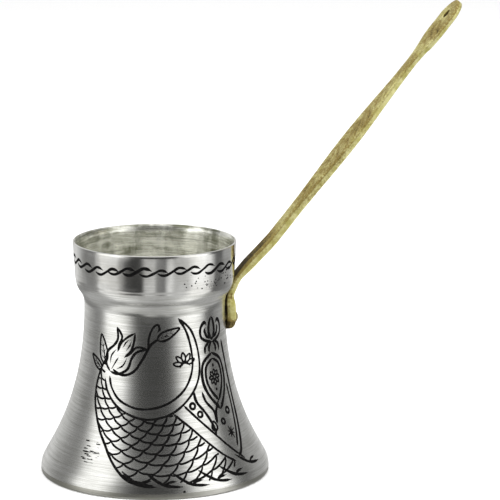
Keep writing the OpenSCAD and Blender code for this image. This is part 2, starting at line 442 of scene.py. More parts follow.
def brushed_tin(name, bright, dull, rough, streak, bump_mm, anisotropic, wiped=0.0, metallic=1.0):
    """Spun tin: fine lines round Z, clouds of wear, and marks where the tin was wiped on by hand."""
    mat, n = material(name)
    at = n.add("ShaderNodeTexCoord", "Object")
    fine = n.noise(n.stretch(at, 70, 70, 4200), detail=3.0, rough=0.65)
    mid = n.noise(n.stretch(at, 30, 30, 1100), detail=3.0, rough=0.6)
    long = n.noise(n.stretch(at, 12, 12, 330), detail=2.0)
    cloud = n.noise(n.stretch(at, 70, 70, 60), detail=4.0, rough=0.6)
    lines = n.weighted((mid, 0.33), (long, 0.17), (fine, 0.5))
    worn = n.weighted((lines, streak), (cloud, 1 - streak))
    middle, spread = 0.49, 0.13
    if wiped:
        upright = n.noise(n.stretch(at, 130, 130, 60), detail=4.0, rough=0.6, distort=0.9)
        level = n.noise(n.stretch(at, 90, 90, 650), detail=4.0, rough=0.62, distort=0.3)
        smear = n.weighted((upright, 0.55), (level, 0.45))
        worn = n.weighted((worn, 1 - wiped), (smear, wiped))
        spread = 0.08
    color = n.mix(n.ramp(worn, middle - spread, middle + spread), rgb(*dull), rgb(*bright))
    roughness = n.ramp(worn, 0.3, 0.7, rough + 0.07, rough - 0.05, smooth=False)
    finish_metal(n, color, roughness, lines, bump_mm, anisotropic, metallic)
    return mat


def black_fill(name):
    """The matt black compound rubbed into the engraved lines."""
    mat, n = material(name)
    at = n.add("ShaderNodeTexCoord", "Object")
    grain = n.noise(at, scale=2600.0, detail=3.0)
    color = n.mix(n.ramp(grain, 0.4, 0.75), rgb(0.002, 0.002, 0.002), rgb(0.014, 0.0135, 0.013))
    finish_metal(n, color, n.ramp(grain, 0.3, 0.7, 0.7, 0.85), grain, 0.02, metallic=0.0, specular=0.05)
    return mat


def old_brass(name, bright, mid, brown, dark, rough):
    """Cast brass, dull and yellow-green, with brown in its recesses and pale on its edges, partly from wear
    and partly as painted highlight; a per-point attribute adds real dirt and painted shade.
    """
    mat, n = material(name)
    at = n.add("ShaderNodeTexCoord", "Object")
    dirt_and_shade = n.add("ShaderNodeAttribute", "Fac", {"attribute_name": "dirt_and_shade"})
    grit = n.noise(at, scale=1500.0, detail=5.0, rough=0.7)
    cloud = n.noise(at, scale=330.0, detail=5.0, rough=0.65)
    patch = n.noise(n.stretch(at, 90, 90, 90), detail=2.0)
    color = n.mix(n.ramp(cloud, 0.32, 0.66), rgb(*mid), rgb(*bright))
    # Real dirt and grit, plus the painted shade that the per-point attribute carries.
    soil_and_shade = n.weighted((dirt_and_shade, 0.95), (n.math("SUBTRACT", grit, 0.5), 1.9))
    soil_and_shade = n.math("ADD", soil_and_shade, n.ramp(patch, 0.44, 0.64, -0.08, 0.2))
    color = n.mix(n.ramp(soil_and_shade, 0.1, 0.75), color, rgb(*brown))
    color = n.mix(n.ramp(soil_and_shade, 0.75, 1.25), color, rgb(*dark))
    roughness = n.math("ADD", n.ramp(soil_and_shade, 0.1, 0.9, rough, rough + 0.25), n.math("MULTIPLY", cloud, 0.1))
    finish_metal(n, color, roughness, n.math("ADD", grit, cloud), 0.05, metallic=0.62)
    return mat


def make_metals():
    return {
        "brass": old_brass("cast_brass", (0.74, 0.7, 0.34), (0.5, 0.455, 0.13), (0.31, 0.235, 0.07),
                           (0.06, 0.042, 0.012), 0.42),
        # The rivets' brass is darker than the handle's: painted shade for their shadowed heads.
        "rivet": old_brass("rivet_brass", (0.44, 0.38, 0.17), (0.26, 0.215, 0.08), (0.14, 0.11, 0.045),
                           (0.04, 0.03, 0.014), 0.34),
        "black": black_fill("black_compound"),
        "flare": brushed_tin("tin_brushed", (0.87, 0.87, 0.84), (0.56, 0.56, 0.52), 0.21, 0.74, 0.02, 0.6),
        "band": brushed_tin("tin_polished", (0.9, 0.9, 0.87), (0.66, 0.65, 0.61), 0.13, 0.4, 0.006, 0.3),
        "inside": brushed_tin("tin_inside", (1.0, 1.0, 0.92), (0.2, 0.205, 0.14), 0.22, 0.66, 0.05, 0.3,
                              wiped=0.5, metallic=0.78),
        "heel": brushed_tin("tin_heel", (0.56, 0.555, 0.51), (0.34, 0.335, 0.28), 0.3, 0.6, 0.01, 0.5),
    }


def dress_body(body, metals):
    """Band, flare, heel and inside are worked differently, so each has its own metal."""
    order = ["flare", "band", "inside", "heel"]
    for key in order:
        body.data.materials.append(metals[key])
    for face in body.data.polygons:
        c = face.center / MM
        r = math.hypot(c.x, c.y)
        outer = r > body_radius(c.z) - WALL * 0.5
        if not outer and c.z > FLOOR_T * 0.6:
            key = "inside"
        elif c.z > BAND_Z - 1.5:
            key = "band"
        elif c.z < FOOT_EDGE_H + 0.5:
            key = "heel"
        else:
            key = "flare"
        face.material_index = order.index(key)


# ================================================================ engraving
#
# Drawn as thin black strips that follow the wall. A point is (turn, z): degrees to the right of the middle
# of the engraved side, and millimetres above the table.

FRONT = math.radians(-90 - CAM_AZIMUTH)
LIFT_EDGE, LIFT_MIDDLE = 0.008, 0.035  # how far a strip's edges and its middle stand off the wall
BURIN = 1.32  # all line widths are scaled by this
PER_SPAN = 8  # steps that a curve takes from one of its points to the next


def curve(points, per_span=PER_SPAN, closed=False):
    """A smooth line through points."""
    n = len(points)
    at = (lambda i: points[i % n]) if closed else (lambda i: points[min(max(i, 0), n - 1)])
    out = []
    for i in range(n if closed else n - 1):
        p0, p1, p2, p3 = at(i - 1), at(i), at(i + 1), at(i + 2)
        for k in range(per_span):
            t = k / per_span
            out.append(tuple(
                0.5 * (2 * b + (c - a) * t + (2 * a - 5 * b + 4 * c - d) * t ** 2
                       + (3 * b - a - 3 * c + d) * t ** 3)
                for a, b, c, d in zip(p0, p1, p2, p3)))
    out.append(tuple(at(n)) if closed else tuple(points[-1]))
    return out


def mirrored(points, side, axis="y"):
    """A line of a motif, or with side -1 its mirror image, in which x or y changes sign."""
    return [(x * side, y) if axis == "x" else (x, y * side) for x, y in points]


def moved(points, turn, z, size=1.0, spin=0.0):
    """A motif in millimetres, placed on the wall."""
    c, s = math.cos(math.radians(spin)), math.sin(math.radians(spin))
    out = []
    for x, y in points:
        x, y = x * size, y * size
        h = z + x * s + y * c
        out.append((turn + math.degrees((x * c - y * s) / body_radius(min(max(h, 1), BODY_H - 1))), h))
    return out


def on_wall(turn, z, lift):
    """A point of the engraving in space, at a height above the wall's uneven surface."""
    a = FRONT + math.radians(turn)
    r = body_radius(z) + spun_wave(a, z) + lift
    return (r * math.cos(a), r * math.sin(a), z)


class Engraving:
    """Strokes that are gathered into one mesh."""

    def __init__(self, name):
        self.name, self.points, self.faces = name, [], []
        self.burin = BURIN

    def stroke(self, path, width=0.6, ends=(0.3, 0.3), lead=1.3):
        """A strip along a path; ends are its widths at start and end as shares of its width."""
        steps, length = [], 0.0
        for a, b in zip(path, path[1:]):
            r, lean = body_radius(a[1]), body_lean(a[1])
            steps.append((math.radians(b[0] - a[0]) * r, (b[1] - a[1]) * math.hypot(1, lean)))
            length += math.hypot(*steps[-1])
        gone, first = 0.0, len(self.points)
        seed = path[0][0] * 0.37 + path[0][1]
        for i, (turn, z) in enumerate(path):
            before, after = steps[max(i - 1, 0)], steps[min(i, len(steps) - 1)]
            tx, ty = before[0] + after[0], before[1] + after[1]
            size = math.hypot(tx, ty) or 1.0
            hand = 1 + 0.22 * ripple(gone * 0.5, seed, 0)
            start = ends[0] + (1 - ends[0]) * fade(gone, 0, lead)
            stop = ends[1] + (1 - ends[1]) * fade(length - gone, 0, lead)
            half = width / 2 * self.burin * hand * min(start, stop)
            r, lean = body_radius(z), body_lean(z)
            dx, dz = math.degrees(-ty / size * half / r), tx / size * half / math.hypot(1, lean)
            for side, lift in ((1, LIFT_EDGE), (0, LIFT_MIDDLE), (-1, LIFT_EDGE)):
                self.points.append(on_wall(turn + side * dx, z + side * dz, lift))
            if i < len(steps):
                gone += math.hypot(*steps[i])
        for i in range(len(path) - 1):
            a = first + 3 * i
            self.faces += [(a, a + 1, a + 4, a + 3), (a + 1, a + 2, a + 5, a + 4)]

    def ring(self, turn, z, radius, width=0.58):
        turns = [k * math.pi / 6 for k in range(12)]
        circle = [(radius * math.cos(t), radius * math.sin(t)) for t in turns]
        self.stroke(moved(curve(circle, 3, closed=True), turn, z), width, (1, 1))

    def dot(self, turn, z, radius):
        self.stroke(moved([(-radius, 0), (0, 0), (radius, 0)], turn, z), radius * 1.6, (0.4, 0.4), radius)

    def build(self):
        obj = make_mesh(self.name, self.points, self.faces)
        obj.data.materials.append(METALS["black"])
        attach(obj, "root")


BORDER_Z = 76.3
BORDER_REPEATS = 30


def engrave_border():
    """A twisted cord of overlapping S strokes round the band."""
    ink = Engraving("border_cord")
    rng = random.Random(4)
    strand = [(-5.0, -0.35), (-3.9, -0.95), (-2.2, -1.05), (0.1, 0.1), (1.9, 1.1), (3.4, 1.0), (5.0, 0.2)]
    for k in range(BORDER_REPEATS):
        drift = 0.55 * math.sin(k * 0.9) + rng.uniform(-0.15, 0.15)
        turn = 360 / BORDER_REPEATS * (k + rng.uniform(-0.05, 0.05))
        ink.stroke(moved(curve(strand), turn, BORDER_Z + drift, rng.uniform(0.95, 1.04), rng.uniform(-3, 3)),
                   rng.uniform(0.68, 0.88), (0.5, 0.2), 1.8)
    ink.build()


def inside_of(shape, p):
    """Whether a point lies in a closed outline."""
    hit = False
    for (x0, y0), (x1, y1) in zip(shape, shape[1:] + shape[:1]):
        if (y0 > p[1]) != (y1 > p[1]) and p[0] < x0 + (p[1] - y0) * (x1 - x0) / (y1 - y0):
            hit = not hit
    return hit


def clipped(path, shape):
    """The runs of a path that lie inside an outline."""
    run, runs = [], []
    for p in path:
        if inside_of(shape, p):
            run.append(p)
        else:
            runs, run = runs + [run], []
    return [r for r in runs + [run] if len(r) > 2]


# a horn of plenty: its scaled body curls under a crescent, from a flower at the upper left to the lower right
CRESCENT_OUT = [(19, 59.5), (30, 55), (36, 47.5), (35.5, 39.5), (27, 33), (11, 27.3), (-7, 25.6), (-25, 28.6),
                (-36, 33.6), (-40, 38)]
CRESCENT_IN = [(19, 59.5), (26, 54.5), (30, 47.5), (29.3, 41), (21.5, 34.8), (7, 30.3), (-10, 28.9),
               (-25, 31.2), (-33, 35.2), (-36, 39)]
HORN_LEFT = [(-40, 45), (-45, 41), (-47.5, 35), (-45.5, 29), (-38, 21.5), (-31, 16.5), (-24, 11.3),
             (-15, 6.6), (-5, 4.6)]
HORN_FOOT = [(-5, 4.6), (7, 5.4), (20, 5.0), (33, 5.4), (45, 7.4), (49, 9.3)]
SASH_LOW = [(12.5, 27.2), (23, 22.4), (32, 17.5), (41, 12.6), (49, 9.3)]
SASH_HIGH = [(20, 29.8), (29, 25), (38.5, 19.8), (48, 14.2), (57, 9.3)]
SCALE_CENTRE = (-4, 46)  # turn and height of the middle that the scales wind round
SCALE_START = 172  # degrees, where scale 0 of row 0 lies round that middle
SCALE_TURN = 8.4  # degrees round it from one scale to the next
SCALE_ROW = 2.6
SCALE_SINK = 0.38  # how far a row winds outwards from one scale to the next, in rows
SCALE_LEAN = 0.62  # how far the next row is shifted, in scales
SCALE_SAG, SCALE_BOW = 0.13, 0.12  # how round a scale's lower edge and its side are
SCALE_ROWS, SCALE_COLUMNS = range(-6, 21), range(-6, 33)  # more than the horn holds: it clips them


def engrave_scales(ink):
    under_crescent = curve(CRESCENT_OUT)[5 * PER_SPAN:]
    region = curve(HORN_LEFT)[:-1] + curve(HORN_FOOT)[:-1] + curve(SASH_LOW)[::-1] + under_crescent
    steps = [k / 8 for k in range(9)]

    def net(column, row):
        a = math.radians(SCALE_START + SCALE_TURN * (column - SCALE_LEAN * row))
        reach = SCALE_ROW * (row + SCALE_SINK * column)
        return (reach * math.cos(a), reach * math.sin(a))

    for row in SCALE_ROWS:
        for column in SCALE_COLUMNS:
            lower = [net(column + t, row + SCALE_SAG * math.sin(math.pi * t ** 0.8)) for t in steps]
            side = [net(column + SCALE_BOW * math.sin(math.pi * t), row - t) for t in steps]
            for path in (lower, side):
                for run in clipped(moved(path, *SCALE_CENTRE), region):
                    ink.stroke(run, 0.56, (0.75, 0.9))


LEAF = [(0, 0), (1.5, 2.2), (1.6, 5.6), (0, 10.4), (-1.6, 5.6), (-1.5, 2.2), (0, 0)]


def engrave_leaf(ink, turn, z, size, spin, width=0.6):
    """A leaf with a midrib and three veins on each side."""
    at = (turn, z, size, spin)
    ink.stroke(moved(curve(LEAF), *at), width)
    ink.stroke(moved([(0, 0.4), (0.2, 4), (0, 8)], *at), width * 0.75, (0.4, 0.2), 2)
    for side in (-1, 1):
        for k in range(3):
            vein = [(0, 2 + 2 * k), (0.5 * side, 2.7 + 2 * k), (1.0 * side, 3.2 + 2 * k)]
            ink.stroke(moved(vein, *at), width * 0.55)


def engrave_flower(ink):
    """An open tulip on the horn's tip, with leaves on both sides and a long leaf that sweeps to the right."""
    at = (-36, 40.6, 1.0, 58)
    petal = curve([(0, 0), (1.2, -3.0), (4.6, -4.9), (8.4, -4.0), (11.2, -4.2), (14.2, -6.6)])
    fold = curve([(14.2, -6.6), (12.6, -3.2), (9.6, -2.6), (7.2, -1.6)])
    heart = curve([(7.2, -1.6), (10.5, -2.2), (13.6, -1.4), (16.4, 0)])
    vein = curve([(2.2, -1.6), (4.6, -2.8), (7.6, -2.5)])
    stamen = [(9.5, -0.8), (11.5, -0.9), (13.4, -0.5)]
    for side in (-1, 1):
        for line, width in ((petal, 0.72), (fold, 0.62), (heart, 0.62)):
            ink.stroke(moved(mirrored(line, side), *at), width)
        ink.stroke(moved(mirrored(vein, side), *at), 0.45, (0.2, 0.2), 2)
        ink.stroke(moved(mirrored(stamen, side), *at), 0.42, (0.2, 0.2), 1)
    ink.stroke(moved([(1.0, 0), (4.5, 0.2), (14, 0)], *at), 0.5, (0.3, 0.2), 2)
    engrave_leaf(ink, -41.5, 42.5, 1.0, 14)
    engrave_leaf(ink, -44, 40.5, 0.7, 52)
    engrave_leaf(ink, 1.5, 52.2, 0.85, -64)
    long_leaf = curve([(-33.5, 41.3), (-25, 39.8), (-16, 41.4), (-9, 46), (-3.5, 50.4), (2, 52.4)])
    ink.stroke(long_leaf, 0.7, (0.6, 0.8))
    hook = curve([(-5, 49.4), (-4.6, 53), (-1.6, 56.4), (2.4, 57.6), (3.8, 56), (2, 55)])
    ink.stroke(hook, 0.6, (0.8, 0.3))


def engrave_palmette(ink, turn, z, size, spin):
    """Five petals that fan out from a small bow."""
    petal = [(0, 0.8), (0.75, 2.2), (0.55, 3.6), (0, 4.3), (-0.55, 3.6), (-0.75, 2.2), (0, 0.8)]
    for lean in (-76, -38, 0, 38, 76):
        ink.stroke(moved(curve(petal, 5), turn, z, size, spin + lean), 0.5, (0.9, 0.9))
    bow = curve([(-2.2, -0.9), (-1, 0.3), (0, 0.6), (1, 0.3), (2.2, -0.9)])
    ink.stroke(moved(bow, turn, z, size, spin), 0.62)


CREST = (52, 49.4)  # turn and height of the crest's foot
MEDALLION = (50.5, 37.4)  # turn and height of the almond's middle
STAR = (54, 18.4)


def engrave_medallion(ink):
    """An almond under a palmette crest, in a long leaf that holds four rings and a star."""
    crest = (
        ([(0, 0), (2.6, 0.68), (5.2, 2.4), (5.4, 5.4), (3.8, 7.4), (2.6, 6.4)], 0.68),
        ([(0, 1.5), (2.4, 2.3), (3.5, 4.2), (3.2, 5.6)], 0.64),
        ([(0, 0.68), (1.5, 3.6), (1.1, 7), (0, 9)], 0.68),
        ([(0.4, 0), (1.8, -1.6), (1.6, -3.6)], 0.68),
        ([(1.4, 0.3), (3.6, -1.2), (3.9, -3.6)], 0.68),
    )
    almond = (
        ([(0, 8.4), (4.6, 5.4), (5.8, -0.2), (4.2, -5.6), (0, -11)], 0.74),
        ([(0, 6.4), (3.3, 4.2), (4.1, -0.2), (2.9, -4), (0, -8)], 0.66),
    )
    for side in (-1, 1):
        for motif, at in ((crest, CREST), (almond, MEDALLION)):
            for points, width in motif:
                ink.stroke(moved(curve(mirrored(points, side, "x")), *at), width)
    petal = curve([(0.5, 0), (1.6, 0.64), (2.7, 0), (1.6, -0.55), (0.5, 0)], 4)
    for k in range(8):
        ink.stroke(moved(petal, *MEDALLION, 1.0, k * 45), 0.42, (0.8, 0.8))
    for z in (41.4, 33.2):
        ink.dot(MEDALLION[0], z, 0.5)
    frame_lines = (
        ([(66, 49), (69, 41), (69, 31), (65.5, 21.5), (58, 13), (53, 10.6)], 0.76),
        ([(64.4, 34), (64, 27), (60.6, 20), (55, 13.6)], 0.64),
        ([(29, 34.2), (30.2, 30.5), (36, 26.4), (40, 22.2), (41, 18.6)], 0.66),
        ([(36, 33.4), (38, 30), (43.4, 26.4), (44, 22.6), (45.4, 26.2), (50, 29.5)], 0.64),
    )
    for points, width in frame_lines:
        ink.stroke(curve(points), width)
    ink.stroke(moved(curve([(0, 0), (1.5, 2), (0, 4.4), (-1.5, 2), (0, 0)]), 41, 19.6, 0.8), 0.5)
    for turn, z, radius in ((26.8, 29.2, 0.95), (31.6, 26.2, 0.9), (57, 25.4, 0.95), (49.6, 22.4, 0.85)):
        ink.ring(turn, z, radius)
    for k in range(4):
        reach = 1.9 if k % 2 == 0 else 1.5
        ray = [(-reach, 0), (0, 0), (reach, 0)]
        ink.stroke(moved(ray, *STAR, 1.15, 22.5 + 45 * k), 0.5, (0.5, 0.5), 0.7)


SCRATCHES, PITS = 16, 64


def engrave_wear(rng):
    """Short scratches low on the left and small pits beside the handle, darkened like the engraving."""
    ink = Engraving("scratches_and_pits")
    for _ in range(SCRATCHES):
        turn, z, length = rng.uniform(-46, -37), rng.gauss(13.4, 1.5), rng.uniform(1.6, 6.5)
        scratch = [(0, 0), (0.25 * length, rng.uniform(-0.05, 0.05)), (length, rng.uniform(-0.1, 0.1))]
        if z > 8:
            ink.stroke(moved(scratch, turn, z), rng.uniform(0.26, 0.42), (0.9, 0.4), 0.8)
    for _ in range(PITS):
        turn = rng.gauss(52, 16)
        z = min(max(rng.gauss(72.0, 1.6), 69.8), 75)
        ink.dot(turn, z, rng.uniform(0.1, 0.3) * (1.5 if turn > 60 else 1))
    ink.build()


MEDALLION_BURIN = 1.25 * BURIN  # the medallion is cut with a wider tool
FRINGE = ((-6, 4.2), (7, 4.0), (21, 3.8), (35, 4.1), (47.5, 4.6), (62, 6.6))  # turn and height of each curl


def engrave_ornament():
    ink = Engraving("ornament")
    for line in (CRESCENT_OUT, CRESCENT_IN, SASH_LOW, SASH_HIGH):
        ink.stroke(curve(line), 0.66)
    ink.stroke(curve(HORN_LEFT), 0.72, (0.6, 0.8))
    engrave_scales(ink)
    engrave_flower(ink)
    engrave_palmette(ink, 23.5, 43.4, 0.95, 8)
    ink.burin = MEDALLION_BURIN
    engrave_medallion(ink)
    ink.burin = BURIN
    long_curl = curve([(-7.6, 4.8), (-5.0, 2.9), (-2.0, 1.2), (1.2, 0.5), (4.8, 0.3)])
    short_curl = curve([(-1.6, 1.1), (0.4, 1.9), (2.8, 2.1)])
    for at in FRINGE:
        ink.stroke(moved(long_curl, *at), 0.8, (0.4, 0.2), 3)
        ink.stroke(moved(short_curl, *at), 0.72, (0.6, 0.15), 1.8)
    ink.dot(14.5, 2.6, 0.45)
    ink.build()


# ================================================================ handle

FOOT_TOP = NECK_Z + 2.0
FOOT_Z = NECK_Z - 11.0
FOOT_L, RISE_H, RISE_OUT = 12.0, 6.56, 1.57
STEM_L, STEM_ANGLE = 18.0, 45.0
BLADE_L, BLADE_ANGLE = 106.0, 50.6
FOOT_T, RISE_T, STEM_T, TIP_T = 3.4, 2.5, 3.3, 2.2
FOOT_W, STEM_W, BELLY_W, WAIST_W, LEAF_W = 12.8, 6.6, 12.0, 5.8, 12.6
STEM_END, BELLY_AT, WAIST_AT, LEAF_AT, TIP_AT = 0.1, 0.42, 0.745, 0.875, 0.93  # shares of the blade
HANG_R, HANG_INSET = 1.6, 6.2
BODY_GAP = 0.16
BEND = 2.4  # how far from a bend its rounding starts
LOBE_TURN = math.radians(35)  # how far up its sides the foot plate stays round
LEAF_PITCH = 4.4  # from one cast leaf to the next
SKIN_T, SKIN_W = 0.06, 0.05  # how much thinner, and narrower on each side, the casting is than in CAD
EDGE_WEAR = 0.08  # how much its sides are worn back
LEAST_HALF = 0.03  # its half width where it runs out to nothing
FACE_STEPS, EDGE_STEPS = 30, 4  # steps across a face, and down a side
END_INSET = 0.015  # from the handle's ends to the first and last section
STEP_LEAST, STEP_GROWTH, STEP_GAIN = 0.07, 0.12, 0.33  # between sections, wider away from the ends
PLATE_END = (9, 14)  # along the handle, where the foot plate's rounder back gives way to the riser
RAGGED_FROM = (14, 22)  # along the handle, where its cast edges begin to be ragged
TIP_DIRT = (0.955, 0.99)  # shares of the blade, where dirt gathers towards the tip


def heading(degrees):
    """The direction, out from the pot and up, at an angle above level."""
    return Vector((math.cos(math.radians(degrees)), math.sin(math.radians(degrees))))


FOOT_X = NECK_R + 0.1
P_FOOT = Vector((FOOT_X + FOOT_T / 2, FOOT_Z))
P_RISE = P_FOOT + Vector((0, FOOT_L))
P_STEM = Vector((BAND_R + RISE_OUT, P_RISE.y + RISE_H))
P_BLADE = P_STEM + STEM_L * heading(STEM_ANGLE)
BLADE_DIR = heading(BLADE_ANGLE)
P_TIP = P_BLADE + BLADE_L * BLADE_DIR
SPINE = [P_FOOT, P_RISE, P_STEM, P_BLADE, P_TIP]
LEGS = [(b - a).length for a, b in zip(SPINE, SPINE[1:])]
STARTS = [sum(LEGS[:i]) for i in range(len(LEGS))]
HANDLE_L = sum(LEGS)
BLADE_S = STARTS[3]


def spine(s):
    """A point and direction on the handle's centre line, with its bends rounded."""
    def straight(t):
        t = min(max(t, 0.0), HANDLE_L)
        k = max(i for i in range(4) if STARTS[i] <= t)
        return SPINE[k] + (SPINE[k + 1] - SPINE[k]) * ((t - STARTS[k]) / LEGS[k])
    reach = min(BEND, s, HANDLE_L - s)
    if reach < TINY:
        d = SPINE[1] - SPINE[0] if s < 1 else SPINE[4] - SPINE[3]
        return straight(s), d.normalized()
    near = [straight(s + reach * k / 4) for k in range(-4, 5)]
    weights = [1, 2, 3, 4, 4, 4, 3, 2, 1]
    point = sum((p * w for p, w in zip(near, weights)), Vector((0, 0))) / sum(weights)
    return point, (near[-1] - near[0]).normalized()


def between(x, table):
    """Straight steps through a list of (x, value)."""
    for (x0, v0), (x1, v1) in zip(table, table[1:]):
        if x <= x1:
            return v0 + (v1 - v0) * max(x - x0, 0.0) / (x1 - x0)
    return table[-1][1]


def ease(a, b, u):
    """From a to b as u goes from 0 to 1, level at both."""
    return a + (b - a) * (1 - math.cos(math.pi * min(max(u, 0.0), 1.0))) / 2


def handle_thickness(s):
    return between(s, [(0, FOOT_T), (FOOT_L - 2, FOOT_T), (FOOT_L + 0.5, RISE_T), (STARTS[2], RISE_T),
                       (STARTS[2] + STEM_L / 3, STEM_T), (BLADE_S, STEM_T), (HANDLE_L, TIP_T)])


def handle_half_width(s):
    lobe_r = FOOT_W / 2
    z = spine(s)[0].y
    lobe_top = FOOT_Z + lobe_r * (1 + math.sin(LOBE_TURN))
    if z < lobe_top:
        return math.sqrt(max(lobe_r ** 2 - (z - FOOT_Z - lobe_r) ** 2, 0.0))
    if s < BLADE_S:
        return ease(lobe_r * math.cos(LOBE_TURN), STEM_W / 2, (z - lobe_top) / (FOOT_TOP - lobe_top))
    b = (s - BLADE_S) / BLADE_L
    if b < BELLY_AT:
        return ease(STEM_W, BELLY_W, (b - STEM_END) / (BELLY_AT - STEM_END)) / 2
    if b < WAIST_AT:
        return ease(BELLY_W, WAIST_W, (b - BELLY_AT) / (WAIST_AT - BELLY_AT)) / 2
    leaf = ease(WAIST_W, LEAF_W, (b - WAIST_AT) / (LEAF_AT - WAIST_AT)) / 2
    past = max(b - TIP_AT, 0.0) / (1 - TIP_AT)
    return leaf * math.sqrt(max(1 - past ** 2, 0.0))


def relief(s, across, half):
    """Depth of the worn pattern cast on the blade's upper face: leaves on a stem inside a raised border."""
    b = (s - BLADE_S) / BLADE_L
    shown = window(b, (0.08, 0.18), (0.68, 0.76)) + window(b, (0.79, 0.84), (0.9, 0.93))
    if shown < 0.01 or half < 1.5:
        return 0.0
    inner = fade(half - abs(across), 0.55, 1.0)
    sway = 0.35 * ripple(s * 0.12, 4.0, across * 0.2)
    p = (s - BLADE_S) / LEAF_PITCH + sway
    u = across / (half - 0.9) + 0.3 * math.sin(s * 0.35)
    leaf = abs((p + abs(u) * 0.7) % 1.0 - 0.5) * 2
    groove = fade(leaf, 0.5, 0.95)
    midrib = 1 - fade(abs(u), 0.05, 0.2)
    wear = 0.35 + 0.65 * fade(ripple(s * 0.35, across * 0.4, 8.0), -0.35, 0.25)
    return shown * inner * wear * (0.08 + 0.22 * max(groove, midrib * 0.7))


def handle_stops():
    """The places along the handle that get a section, closer together near its ends."""
    stops, s = [], 0.0
    while s < HANDLE_L:
        stops.append(s)
        s += STEP_LEAST + min(min(s, HANDLE_L - s) * STEP_GROWTH, STEP_GAIN)
    return [END_INSET] + stops[1:] + [HANDLE_L - END_INSET]


def section_loop():
    """The points round a section as (part, k). On the top and low faces k is 1 at the near side and -1 at the
    far side. On the near and far sides it lies between 1 at the top and -1 at the bottom."""
    faces = [math.sin(math.pi / 2 * (1 - 2 * k / FACE_STEPS)) for k in range(FACE_STEPS + 1)]
    sides = [1 - 2 * k / EDGE_STEPS for k in range(1, EDGE_STEPS)]
    return ([("top", k) for k in faces] + [("far", k) for k in sides]
            + [("low", -k) for k in faces] + [("near", -k) for k in sides])


def handle_section(s):
    """The sizes of the section at a place along the handle."""
    b = (s - BLADE_S) / BLADE_L
    t = handle_thickness(s) - SKIN_T
    half = max(handle_half_width(s) - SKIN_W, LEAST_HALF)
    free = fade(s, *RAGGED_FROM) * min(half / 3, 1)
    ragged = 0.16 * ripple(s * 0.22, 3.3, 0) + 0.07 * ripple(s * 0.9, 7.7, 0)
    sunk = 0.13 * ripple(s * 0.25, 11.1, 0)
    spur = 0.35 * window(b, (0.802, 0.81), (0.815, 0.86))  # left where the leaf begins
    soft = min(0.7, t * 0.3, half * 0.6)
    plate = fade(s, *PLATE_END)
    back = min(0.9, half * 0.8) * (1 - plate) + soft * plate  # the corners are rounder against the pot
    level = t / 2 * (fade(min(half, 2.0), 0.0, 1.2) * 0.35 + 0.65)
    nose = 1.5 * (1 - math.sqrt(max(1 - max(1 - s / 3.2, 0.0) ** 2, 0.0)))  # the plate's rounded lower end
    top_edge = level - back
    return SimpleNamespace(
        s=s, b=b, half=half, soft=soft, back=back, level=level, nose=nose,
        near=max(half - EDGE_WEAR + ragged * free, LEAST_HALF) + spur,
        far=max(half - EDGE_WEAR - sunk * free, LEAST_HALF),
        knee=0.55 * window(s, (BLADE_S - 3, BLADE_S + 0.4), (BLADE_S + 0.6, BLADE_S + 4)),
        smoked=window(b, (0.0, 0.14), (0.4, 0.58)),
        top_edge=top_edge, low_edge=min(-level + soft + nose, top_edge))


def face_dirt_and_shade(section, top, across, lim, depth, cast):
    """Dirt and painted shade on a face: patina in its relief, dirt near the tip, and painted shade on the
    stem's top near the pot, on the foot plate's lower end and on its face against the pot.
    """
    s = section.s
    # Painted shade on the foot plate's lower end, which turns down away from the light.
    foot = 1.05 * (1 - fade(s, 3.4, 5.4))
    if top:
        # Painted shade on the stem's top face near the pot, lighter towards its near edge.
        stem_shade = window(s, (STARTS[2] - 2, STARTS[2] + 1), (STARTS[2] + 6, STARTS[2] + 26))
        stem_shade *= 1 - 0.8 * fade(across, lim - 1.6, lim - 0.5)
        # Painted shade on the foot plate's face that lies against the pot, in the crevice.
        shade_against_pot = fade(lim - abs(across), 0.3, 1.4)
        foot = max(foot, 1.4 * shade_against_pot * (1 - fade(s, 10, 14)))
        # The upper face starts darker than the others, partly patina and partly painted shade of how light
        # falls on it; its relief adds patina.
        tone = 0.43 + 0.6 * min(depth / 0.3, 0.7) + 0.9 * stem_shade
    else:
        tone = min(abs(cast) / 0.1, 1.0) * 0.4
    tone += 0.25 * section.smoked * fade(across, lim - 1.2, lim - 0.5)
    return min(tone + foot + 0.3 * fade(section.b, *TIP_DIRT), 1.4)


def face_point(section, part, k):
    """Where a point of the upper or lower face is, across and up, and its dirt and painted shade."""
    top = part == "top"
    lim = section.near if k > 0 else section.far
    across = k * lim
    turned = section.back if top else section.soft
    past = max(abs(across) - (lim - turned), 0.0) / turned
    drop = turned * (1 - math.sqrt(max(1 - past ** 2, 0.0)))
    crown = (0.16 * min(section.half / 4, 1) if top else 0.08) * (across / lim) ** 2
    bite = relief(section.s, across, min(section.near, section.far)) if top else 0.0
    cast = 0.05 * ripple(section.s * 0.55, across * 0.7, 2.0 if top else 9.0)
    cast += 0.03 * ripple(section.s * 1.9, across * 2.2, 4.0 if top else 6.0)
    depth = bite + abs(cast) * (0.7 if section.s > RAGGED_FROM[0] else 0.35)
    up = section.level - drop - crown - depth
    if not top:
        up = section.nose - section.knee * fade(across, 1.5, -1.5) * 0.6 - up
    return across, up, face_dirt_and_shade(section, top, across, lim, depth, cast)


